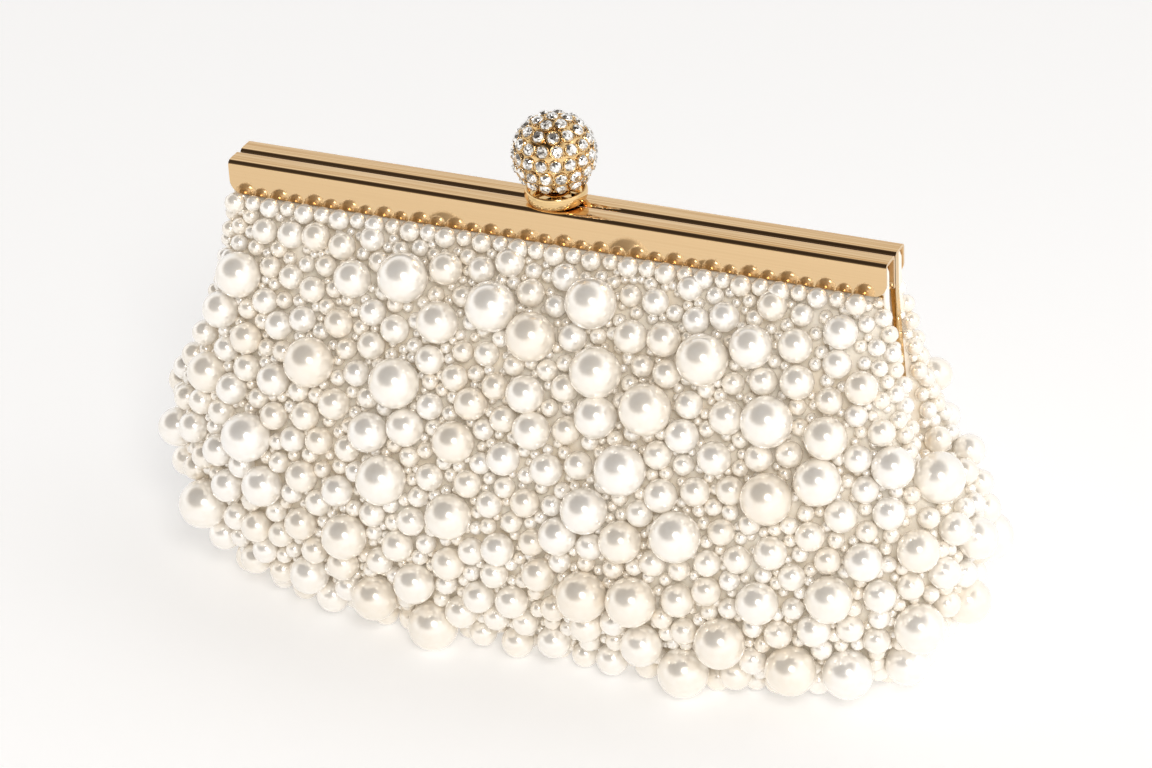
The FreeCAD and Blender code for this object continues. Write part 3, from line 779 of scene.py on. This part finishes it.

# %% [markdown]
# The pearls are made as copies of a ball cut into triangles. A small one needs only 80 faces, and a large
# one 320 or 1280. Each pearl's bend weight is worked out at its own centre, one for all its points; the
# pearls are not bent here.

# %% Make the pearls


def ball_template(cuts):
    """Points and triangles of a ball of radius 1, cut from an icosahedron."""
    edit = bmesh.new()
    bmesh.ops.create_icosphere(edit, subdivisions=cuts, radius=1.0)
    points = np.array([v.co for v in edit.verts])
    faces = np.array([[v.index for v in f.verts] for f in edit.faces])
    edit.free()
    return points, faces


ball_cuts = ((2, 0.0, 2.9), (3, 2.9, 4.4), (4, 4.4, 99.0))      # cuts of the ball, from and to which radius
balls = {cuts: ball_template(cuts) for cuts, low, high in ball_cuts}
taken = np.array(glued)
radii_array = np.array(radii)
rest_centres = np.array(centres)
final_centres = rest_centres + (swollen_spots - spots)[taken]
axis = rng.normal(size=(len(taken), 3))
spins = turned_to(axis / np.linalg.norm(axis, axis=1, keepdims=True))
tints = rng.random(len(taken))


def make_pearls(name, mask):
    """One piece from all pearls of a part of the bag, with each pearl's tint on its points, and the bend
    weight of each pearl's centre for every point.
    """
    points, faces, tint_values, weights, start = [], [], [], [], 0
    for cuts, low, high in ball_cuts:
        these = np.flatnonzero(mask & (radii_array >= low) & (radii_array < high))
        if len(these) == 0:
            continue
        template, corners = balls[cuts]
        p, f = scatter(template, corners, final_centres[these], spins[these], radii_array[these])
        points.append(p)
        faces.append(f + start)
        start += len(p)
        tint_values.append(np.repeat(tints[these], len(template)))
        weights.append(np.repeat(bend_weight(rest_centres[these, 2]), len(template)))
    piece = make_piece(name, np.concatenate(points), faces, pearl_lacquer, turn_out=False)
    tint_layer = piece.data.attributes.new("tint", "FLOAT", "POINT")
    tint_layer.data.foreach_set("value", np.concatenate(tint_values).astype(np.float32))
    return piece, np.concatenate(weights).astype(np.float32)


low_pearls = rest_centres[:, 2] < seam_z
for side, half in halves:
    piece, weights = make_pearls("pearls_" + half, ~low_pearls & (np.sign(rest_centres[:, 1]) == side))
    bend_with(piece)
    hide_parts(half + "_pearls")
for side, half in halves:
    piece, weights = make_pearls("pearls_base_" + half, low_pearls & (np.sign(rest_centres[:, 1]) == side))
    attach(piece, "pouch")
    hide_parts("pouch_pearls")

# %% [markdown]
# ## Metal finishes
#
# The frame is brass, polished and plated with pale gold, then drawn through felt, which leaves faint lines
# along its tops. A mirror finish takes its look from the room, so the colour is only that of the plating.
# The hidden latch is rolled spring steel, greyer and duller.

# %% Gilt brass and steel


def drawn_metal(name, colour, shade, roughness, line_gap, line_length, bump_strength, stretch="X"):
    """Metal with fine lines along X, or even grain. Lines are line_gap apart and line_length long, in
    millimetres. They vary the tone and the relief where the metal faces up, and the roughness."""
    material, tree, shader = new_material(name, {"Metallic": 1.0})
    place = add(tree, "TexCoord").outputs["Object"]
    along, across = 1 / (line_length * MM), 1 / (line_gap * MM)
    scale = (along, across, across) if stretch == "X" else (across, across, across)
    stretched = add(tree, "Mapping", {"Scale": scale}, {"Vector": place})
    lines = add(tree, "TexNoise", {"Scale": 1.0, "Detail": 3.0, "Roughness": 0.6},
                {"Vector": stretched.outputs[0]})
    streaks = ramp(tree, lines.outputs["Fac"], [(0.35, srgb(shade)), (0.6, srgb(colour))])
    gloss = ramp(tree, lines.outputs["Fac"], [(0.3, grey(roughness * 0.7)), (0.7, grey(roughness * 1.3))])
    facing = add(tree, "SeparateXYZ", {}, {0: add(tree, "TexCoord").outputs["Normal"]})
    drawn = add(tree, "MapRange", {"From Min": 0.6, "From Max": 0.95, "To Min": 0.1},
                {"Value": facing.outputs["Z"]})
    tone = add(tree, "Mix", {"data_type": "RGBA", 6: srgb(colour)}, {0: drawn.outputs[0], 7: streaks})
    tree.links.new(tone.outputs[2], shader.inputs["Base Color"])
    tree.links.new(gloss, shader.inputs["Roughness"])
    relief = add(tree, "Math", {"operation": "MULTIPLY", 1: bump_strength}, {0: drawn.outputs[0]})
    bump = add(tree, "Bump", {"Distance": 0.02 * MM},
               {"Height": lines.outputs["Fac"], "Strength": relief.outputs[0]})
    tree.links.new(bump.outputs["Normal"], shader.inputs["Normal"])
    return material


gilt_rail = drawn_metal("pale_gold_plated_brass_drawn", "#E4C497", "#C99F69", 0.08, 0.35, 60.0, 0.12)
gilt_cast = drawn_metal("pale_gold_plated_brass_polished", "#E5C48E", "#D9B274", 0.06, 0.8, 0.8, 0.04,
                        stretch="none")
steel = drawn_metal("spring_steel_rolled", "#B9BCC0", "#9DA1A6", 0.28, 0.12, 6.0, 0.10)

# %% [markdown]
# ## The rails
#
# Each rail is a strip of sheet brass folded into a channel: an outer plate, a rounded top and a facing wall.
# Its section is one path for the outer side and the same path, set in by the sheet, for the inner side. Both
# are carried along the frame. Near its ends the plate's lower corners are rounded, and in the middle the
# facing wall steps back in a half round to let the clasp's stem pass.

# %% Fold the rails
sheet = 0.8
top_round, inner_round = 1.3, 0.55
corner_round = 3.2
notch = 2.0
foot_points = 4                             # of the section, up each of its two sides


def quarter(centre_y, centre_z, radius, start, end, count=7):
    """Points of an arc: centre + radius (cos a, sin a), in the plane across the frame."""
    a = np.radians(np.linspace(start, end, count))
    return np.stack([centre_y + radius * np.cos(a), centre_z + radius * np.sin(a)], 1)


def fold(offset, radius):
    """The section from the plate's foot, over the top, to the facing wall's foot, set in by offset."""
    outer, wall_side, top = rail_face - offset, rail_wall + offset, rail_top - offset
    foot = np.linspace(rail_foot, top - radius, foot_points + 1)
    return np.concatenate([
        np.stack([np.full(foot_points, outer), foot[:-1]], 1),
        quarter(outer - radius, top - radius, radius, 0, 90),
        quarter(wall_side + radius, top - radius, radius, 90, 180),
        np.stack([np.full(foot_points, wall_side), foot[-2::-1]], 1)])


def rail_stations():
    """Places along the frame: evenly along it, and close together at the rounded ends and the notch."""
    bend = np.radians(np.linspace(0, 90, 9))
    end = rail_end - corner_round * (1 - np.sin(bend))
    middle = notch * np.sin(np.radians(np.linspace(-90, 90, 15)))
    between = np.linspace(notch + 4, rail_end - corner_round - 2, 20)
    half = np.concatenate([between, end])
    return np.concatenate([-half[::-1], middle, half])


def make_rail(name, side):
    """One rail: z of the plate's foot rises by r - sqrt(r^2 - d^2) within r of the ends, and the facing wall
    stays at least sqrt(notch^2 - x^2) from the middle."""
    x = rail_stations()
    into = np.clip(np.abs(x) - (rail_end - corner_round), 0, corner_round)
    rise = corner_round - np.sqrt(np.maximum(corner_round ** 2 - into ** 2, 0))
    back_off = np.sqrt(np.maximum(notch ** 2 - x ** 2, 0))
    sides = []
    for offset, radius in ((0.0, top_round), (sheet, inner_round)):
        section = fold(offset, radius)
        y = np.repeat(section[None, :, 0], len(x), 0)
        z = np.repeat(section[None, :, 1], len(x), 0)
        z[:, :foot_points] = np.maximum(z[:, :foot_points], rail_foot + rise[:, None])
        y = np.where(y < rail_face - 2, np.maximum(y, back_off[:, None] + offset), y)
        sides.append(np.stack([np.repeat(x[:, None], len(section), 1), side * y, z], -1))
    outer, inner = sides
    piece = make_piece(name, *thick_sheet(outer, inner), gilt_rail, sharp=38)
    bevel = piece.modifiers.new("edge", "BEVEL")
    bevel.width, bevel.segments = 0.12 * MM, 2
    bevel.limit_method, bevel.angle_limit = "ANGLE", math.radians(50)
    return piece


for side, half in halves:
    piece = make_rail("rail_" + half, side)
    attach(piece, half + "_half")
    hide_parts(half + "_rail")

# %% [markdown]
# ## Satin in the channels
#
# Folded satin fills both channels and shows in their open ends, and a narrow satin edge runs on from it down
# beside the arms. Both are soft bars with rounded ends, carried along a short path.

# %% Make the fillers and edge bindings
cavity_in, cavity_out = rail_wall + sheet, rail_face - sheet
arm_side = cavity_in + 2.0                  # the arms take the first two millimetres beside the wall
filler_start = 7.2                          # room for the clasp between the two fillers
play = 0.1                                  # between the satin and the brass around it
ring_count = 20


def soft_section(low, high, power=3.2):
    """A rounded rectangle between two corners of the cross plane: a superellipse with the given power."""
    a = np.linspace(0, 2 * math.pi, ring_count, endpoint=False)
    c, s = np.cos(a), np.sin(a)
    unit = np.stack([np.sign(c) * np.abs(c) ** (2 / power), np.sign(s) * np.abs(s) ** (2 / power)], 1)
    low, high = np.asarray(low, float), np.asarray(high, float)
    return (low + high) / 2 + unit * (high - low) / 2


def round_ends(x, start, end, round_length):
    """Share of the full section at x: sqrt(1 - (1 - d)^2) within round_length of an end, else 1."""
    d = np.clip(np.minimum(x - start, end - x) / round_length, 0, 1)
    return np.sqrt(np.maximum(1 - (1 - d) ** 2, 0.02))


def filler_bar(side, end):
    """One filler: from beside the clasp to the rail's end, narrower where the arms pass."""
    stop = rail_end - 0.25
    x = np.concatenate([np.linspace(filler_start, filler_start + 1.8, 6), np.linspace(12, stop - 6, 14),
                        np.linspace(stop - 5, stop, 14)])
    room = smooth_step((x - (arm_top_x - 3.5)) / 2.4)
    full = round_ends(x, filler_start, stop, 0.9)
    rings = []
    for place, part, share_here in zip(x, room, full):
        low = np.array([cavity_in + play + part * (arm_side - cavity_in), panel_top + play])
        high = np.array([cavity_out - play / 2, rail_top - sheet - play])
        section = soft_section(low, high)
        middle = section.mean(0)
        section = middle + (section - middle) * (0.55 + 0.45 * share_here)
        x_here = np.full(ring_count, end * place)
        rings.append(np.column_stack([x_here, side * section[:, 0], section[:, 1]]))
    return tube(np.array(rings))


def binding_bar(side, end, drop):
    """One binding: from inside the channel's end down beside the arm, leaning out with it."""
    z = np.concatenate([np.linspace(rail_top - sheet - 0.6, panel_top, 6),
                        np.linspace(panel_top - 1, panel_top - drop, 16)])
    full = round_ends(z, z[-1], z[0], 1.4)
    rings = []
    for height, out, share_here in zip(z, arm_lean(z), full):
        section = soft_section([rail_end - 1.25, arm_side + play], [rail_end - play, cavity_out - 0.15], 2.4)
        middle = section.mean(0)
        section = middle + (section - middle) * share_here
        z_here = np.full(ring_count, height)
        rings.append(np.column_stack([end * (section[:, 0] + out), side * section[:, 1], z_here]))
    return tube(np.array(rings))


def join(parts):
    """Several closed forms as one list of points and blocks of faces."""
    points, blocks, start = [], [], 0
    for p, faces in parts:
        points.append(p)
        for block in faces:
            block = [[corner + start for corner in f] for f in block]
            blocks.append(block)
        start += len(p)
    return np.concatenate(points), blocks


for side, half, drop in ((-1, "front", 14.0), (1, "back", 10.0)):
    for kind, bars in (("filler", [filler_bar(side, end) for end in (-1, 1)]),
                       ("binding", [binding_bar(side, end, drop) for end in (-1, 1)])):
        points, blocks = join(bars)
        piece = make_piece(kind + "_" + half, points, blocks, satin, sharp=70)
        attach(piece, half + "_half")
        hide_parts(half + ("_filler" if kind == "filler" else "_bindings"))

# %% [markdown]
# ## The pleated side webs
#
# When the mouth opens, cloth at each side unfolds between the two halves. Each web is a sheet folded in
# three pleats, made here as it lies closed. Its outer edge turns fully with the frame and its middle fold
# stays, so the pleats open like a fan; the weights for that turn are worked out, but the web is not bent by
# them.

# %% Make the side webs
web_foot, web_top = hinge_z + 3.0, panel_top - 0.6
pleats, web_sheet = 3, 0.35
pleat_depth = 8.0
web_rows, web_cols = 24, 31


def web_grid(side, end, inset):
    """A web's grid, by height and share s from its outer edge to the middle fold: x goes in by a share of
    the pleat depth, (1 - cos(pleats pi s)) / 2, and y runs from beside the parting line to it."""
    z, s = np.meshgrid(np.linspace(web_foot, web_top, web_rows), np.linspace(0, 1, web_cols), indexing="ij")
    depth = pleat_depth * (0.15 + 0.85 * (z - web_foot) / (web_top - web_foot))
    x = apex_x(z) - 0.4 - inset - depth * 0.5 * (1 - np.cos(pleats * math.pi * s))
    y = side * (0.02 + 1.0 * (1 - s) ** 1.5)
    return np.stack([end * x, y, z], -1)


for side, half in halves:
    for end, hand in ((-1, "left"), (1, "right")):
        outer, inner = web_grid(side, end, 0.0), web_grid(side, end, web_sheet)
        piece = make_piece("web_" + half + "_" + hand, *thick_sheet(outer, inner), lining_cloth, sharp=70)
        bend_with(piece)
        s = np.tile(np.linspace(0, 1, web_cols), 2 * web_rows)
        height = np.concatenate([outer[..., 2].reshape(-1), inner[..., 2].reshape(-1)])
        weights = bend_weight(height) * (1 - s)
        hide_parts("side_web_" + hand)

# %% [markdown]
# ## The stone-set ball
#
# Cut glass stones stand in level rows around a gold ball. Each is a brilliant: an eight-sided table, a crown
# of small facets and a girdle, in a thin ring, with a bead of metal pressed over it between the stones. The
# rows follow from the ball's radius and the stones' pitch. The glass is silvered behind, so a stone sends
# back light and dark in small sharp patches. These patches are painted reflection here: a mirror whose
# colour is set lighter or darker at random from facet to facet.

# %% Where the stones stand
ball_low, ball_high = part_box("ball_shell")
ball_radius = (ball_high.x - ball_low.x) / 2 / MM
ball_centre = np.array([0, 0, ball_high.z / MM - ball_radius])
stone_radius, stone_height, stone_gap = 1.5, 1.2, 0.3
stone_pitch = 2 * stone_radius + stone_gap
stone_reach = math.radians(130.0)
stone_sunk = 0.15                           # the stones' bases stand this far inside the ball
ring_room, ring_wire, ring_height = 0.08, 0.12, 0.34
bead_radius, bead_height = 0.26, 0.35


def around_ball(row, shift=0.0, off=0.0):
    """Outward directions of one row: its angle from the top is row times pitch / radius, and it takes as
    many stones as its length allows, each row turned by half a step from the last. Shift and off move them
    along the row and to the next one, in steps."""
    tilt = (row + off) * stone_pitch / ball_radius
    own = row * stone_pitch / ball_radius
    count = max(1, int(2 * math.pi * ball_radius * math.sin(own) / stone_pitch))
    turn = 2 * math.pi * (np.arange(count) + 0.5 * (row % 2) + shift) / count
    return np.stack([math.sin(tilt) * np.cos(turn), math.sin(tilt) * np.sin(turn),
                     np.full(count, math.cos(tilt))], 1)


row_count = 1 + int(stone_reach / (stone_pitch / ball_radius))
stone_out = np.concatenate([around_ball(row) for row in range(row_count)])
bead_out = np.concatenate([around_ball(row, 0.5, 0.30) for row in range(1, row_count)])
print("stones", len(stone_out), "beads", len(bead_out))

# %% Cut glass and foil
crystal, tree, shader = new_material("lead_glass_cut_foiled", {
    "Metallic": 0.85, "Roughness": 0.05, "Coat Weight": 1.0, "Coat Roughness": 0.01})
# Painted reflection: the facet attribute sets each facet's colour from dark grey to white at random, painted
# light and dark standing for the sparkle a foiled stone sends back.
painted_sparkle = add(tree, "Attribute", {"attribute_name": "facet"}).outputs["Fac"]
tone = ramp(tree, painted_sparkle, [(0.0, srgb("#6E6862")), (0.28, srgb("#C9C4BC")),
                          (0.55, srgb("#F6F3EE")), (1.0, srgb("#FFFFFF"))])
tree.links.new(tone, shader.inputs["Base Color"])
place = add(tree, "TexCoord").outputs["Object"]
inner_facets = 0.7                          # millimetres across the facets seen through a stone
cells = add(tree, "TexVoronoi", {"Scale": 1 / (inner_facets * MM)}, {"Vector": place})
bump = add(tree, "Bump", {"Strength": 0.9, "Distance": 0.12 * MM}, {"Height": cells.outputs["Distance"]})
tree.links.new(bump.outputs["Normal"], shader.inputs["Normal"])

# %% Cut one stone and set them all


def eight(radius, height, half_step):
    """Eight corners in a level ring, turned by half a step or not."""
    a = 2 * math.pi * (np.arange(8) + 0.5 * half_step) / 8
    return np.stack([radius * np.cos(a), radius * np.sin(a), np.full(8, height)], 1)


def brilliant():
    """Points and triangles of a stone of radius 1: base, girdle, kites and star facets up to the table."""
    tall = stone_height / stone_radius
    rings = [eight(0.98, 0.0, 0), eight(1.0, 0.28 * tall, 0), eight(0.82, 0.66 * tall, 1),
             eight(0.56, tall, 0)]
    points = np.concatenate(rings + [[[0, 0, 0], [0, 0, tall]]])
    i = np.arange(8)
    j = (i + 1) % 8
    faces = [np.stack(f, 1) for f in (
        (i, j, j + 8), (i, j + 8, i + 8), (i + 8, j + 8, i + 16), (i + 16, j + 8, j + 16),
        (i + 16, j + 24, i + 24), (j + 24, i + 16, j + 16),
        (j, i, np.full(8, 32)), (i + 24, j + 24, np.full(8, 33)))]
    return points, np.concatenate(faces)


stone_points, stone_faces = brilliant()
wobble = rng.normal(scale=0.04, size=(len(stone_out), 3))
tilted = stone_out + wobble
tilted /= np.linalg.norm(tilted, axis=1, keepdims=True)
stone_places = ball_centre + stone_out * (ball_radius - stone_sunk)
points, faces = scatter(stone_points, stone_faces, stone_places, turned_to(tilted),
                        np.full(len(stone_out), stone_radius * 1.04))
stones = make_piece("stones", points, [faces], crystal)
stones.data.shade_flat()
# A random value on each facet, which sets its painted sparkle in the glass's colour.
facet = stones.data.attributes.new("facet", "FLOAT", "FACE")
facet.data.foreach_set("value", rng.random(len(stones.data.polygons)).astype(np.float32))
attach(stones, "clasp_ball")
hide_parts("ball_stones")

# %% The ball, its rings and beads


def ring_template(major, minor, around_count=14, section_count=5):
    """Points and quads of a ring: (major + minor cos b) about its axis, and minor sin b along it."""
    a, b = np.meshgrid(np.linspace(0, 2 * math.pi, around_count, endpoint=False),
                       np.linspace(0, 2 * math.pi, section_count, endpoint=False), indexing="ij")
    far = major + minor * np.cos(b)
    points = np.stack([far * np.cos(a), far * np.sin(a), minor * np.sin(b)], -1).reshape(-1, 3)
    return points, closed_quads(around_count, section_count)


def sphere_grid(centre, radius, rows=40, cols=72):
    """A closed ball: level rings from pole to pole, and a corner at each pole."""
    tilt = np.linspace(0, math.pi, rows + 2)[1:-1]
    turn = np.linspace(0, 2 * math.pi, cols, endpoint=False)
    tilt, turn = np.meshgrid(tilt, turn, indexing="ij")
    out = np.stack([np.sin(tilt) * np.cos(turn), np.sin(tilt) * np.sin(turn), np.cos(tilt)], -1)
    grid = centre + radius * out
    j = np.arange(cols)
    k = (j + 1) % cols
    last = (rows - 1) * cols
    points = np.concatenate([grid.reshape(-1, 3), [centre + [0, 0, radius], centre - [0, 0, radius]]])
    n = rows * cols
    caps = np.concatenate([np.stack([k, j, np.full(cols, n)], 1),
                           np.stack([last + j, last + k, np.full(cols, n + 1)], 1)])
    return points, [grid_quads(rows, cols, wrap=True), caps]


rings = scatter(*ring_template(stone_radius + ring_room, ring_wire),
                ball_centre + stone_out * (ball_radius + ring_height),
                turned_to(stone_out), np.ones(len(stone_out)))
beads = scatter(*balls[2], ball_centre + bead_out * (ball_radius + bead_height),
                turned_to(bead_out), np.full(len(bead_out), bead_radius))
core_ball = sphere_grid(ball_centre, ball_radius)
points, blocks = join([core_ball, (rings[0], [rings[1]]), (beads[0], [beads[1]])])
setting = make_piece("ball_setting", points, blocks, gilt_cast, sharp=80)
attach(setting, "clasp_ball")
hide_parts("ball_shell")

# %% [markdown]
# ## The clasp's cup
#
# The ball sits in a turned cup, so its section is a profile carried round the stem: out along the foot, up a
# bulging side to a rolled rim, and down inside to the floor.

# %% Turn the cup
cup_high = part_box("clasp_cup")[1]
rim_radius, cup_top = cup_high.x / MM, cup_high.z / MM
foot_radius, seat_radius, cup_wall, stem_hole = 5.8, 5.0, 0.6, 1.42
cup_foot = rail_top + 0.2
rim_round = 0.3


def bowl_side(base, widest, low, high, count=16):
    """Radius and height up a bulging side: r = base + (widest - base) sin a and z = low + half (1 - cos a),
    with a from 0 to 118 degrees, so that the side rolls in past its widest place."""
    a = np.radians(np.linspace(0, 118, count))
    half = (high - low) / (1 - math.cos(a[-1]))
    return np.stack([base + (widest - base) * np.sin(a), low + half * (1 - np.cos(a))], 1)


def cup_profile():
    """Radius and height round the section: outside from foot to rim, over the rim, and back inside."""
    rim_foot = cup_top - rim_round
    outside = bowl_side(foot_radius, rim_radius, cup_foot, rim_foot)
    inside = bowl_side(seat_radius, rim_radius - cup_wall, cup_foot + cup_wall, rim_foot)[::-1]
    b = np.radians(np.linspace(25, 155, 6))
    middle, half = (outside[-1, 0] + inside[0, 0]) / 2, (outside[-1, 0] - inside[0, 0]) / 2
    rim = np.stack([middle + half * np.cos(b), rim_foot + rim_round * np.sin(b)], 1)
    floor_edge = [[stem_hole, cup_foot + cup_wall]]
    return np.concatenate([[[stem_hole, cup_foot]], outside, rim, inside, floor_edge])


def turn_profile(profile, count=72):
    """A closed turned form: the profile at every turn, each joined to the next, its ends to each other."""
    turn = np.linspace(0, 2 * math.pi, count, endpoint=False)[:, None]
    r, z = profile[:, 0][None], profile[:, 1][None]
    grid = np.stack([r * np.cos(turn), r * np.sin(turn), z + 0 * turn], -1)
    return grid.reshape(-1, 3), [closed_quads(*grid.shape[:2])]


cup = make_piece("cup", *turn_profile(cup_profile()), gilt_cast, sharp=50)
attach(cup, "back_half")
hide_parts("clasp_cup")

# %% [markdown]
# ## Finishes on the engineered pieces
#
# The arms, pins, latch and stem keep their engineered shapes and take their finishes here.

# %% Finish the frame's own pieces
finishes = {
    gilt_cast: ["front_arm_left", "front_arm_right", "back_arm_left", "back_arm_right", "ball_collar",
                "ball_stem", "cup_rivets", "hinge_pins", "hinge_washers"],
    steel: ["keeper", "keeper_rivets", "latch_spring", "latch_rivets", "stem_clip"],
    lining_cloth: ["base_board"],
}
for material, names in finishes.items():
    for name in names:
        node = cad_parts[name]
        if not node.material_slots:
            node.data.materials.append(material)
        for slot in node.material_slots:
            slot.material = material
for name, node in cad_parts.items():
    if not node.hide_render and not any(name in names for names in finishes.values()):
        print("still plain:", name)
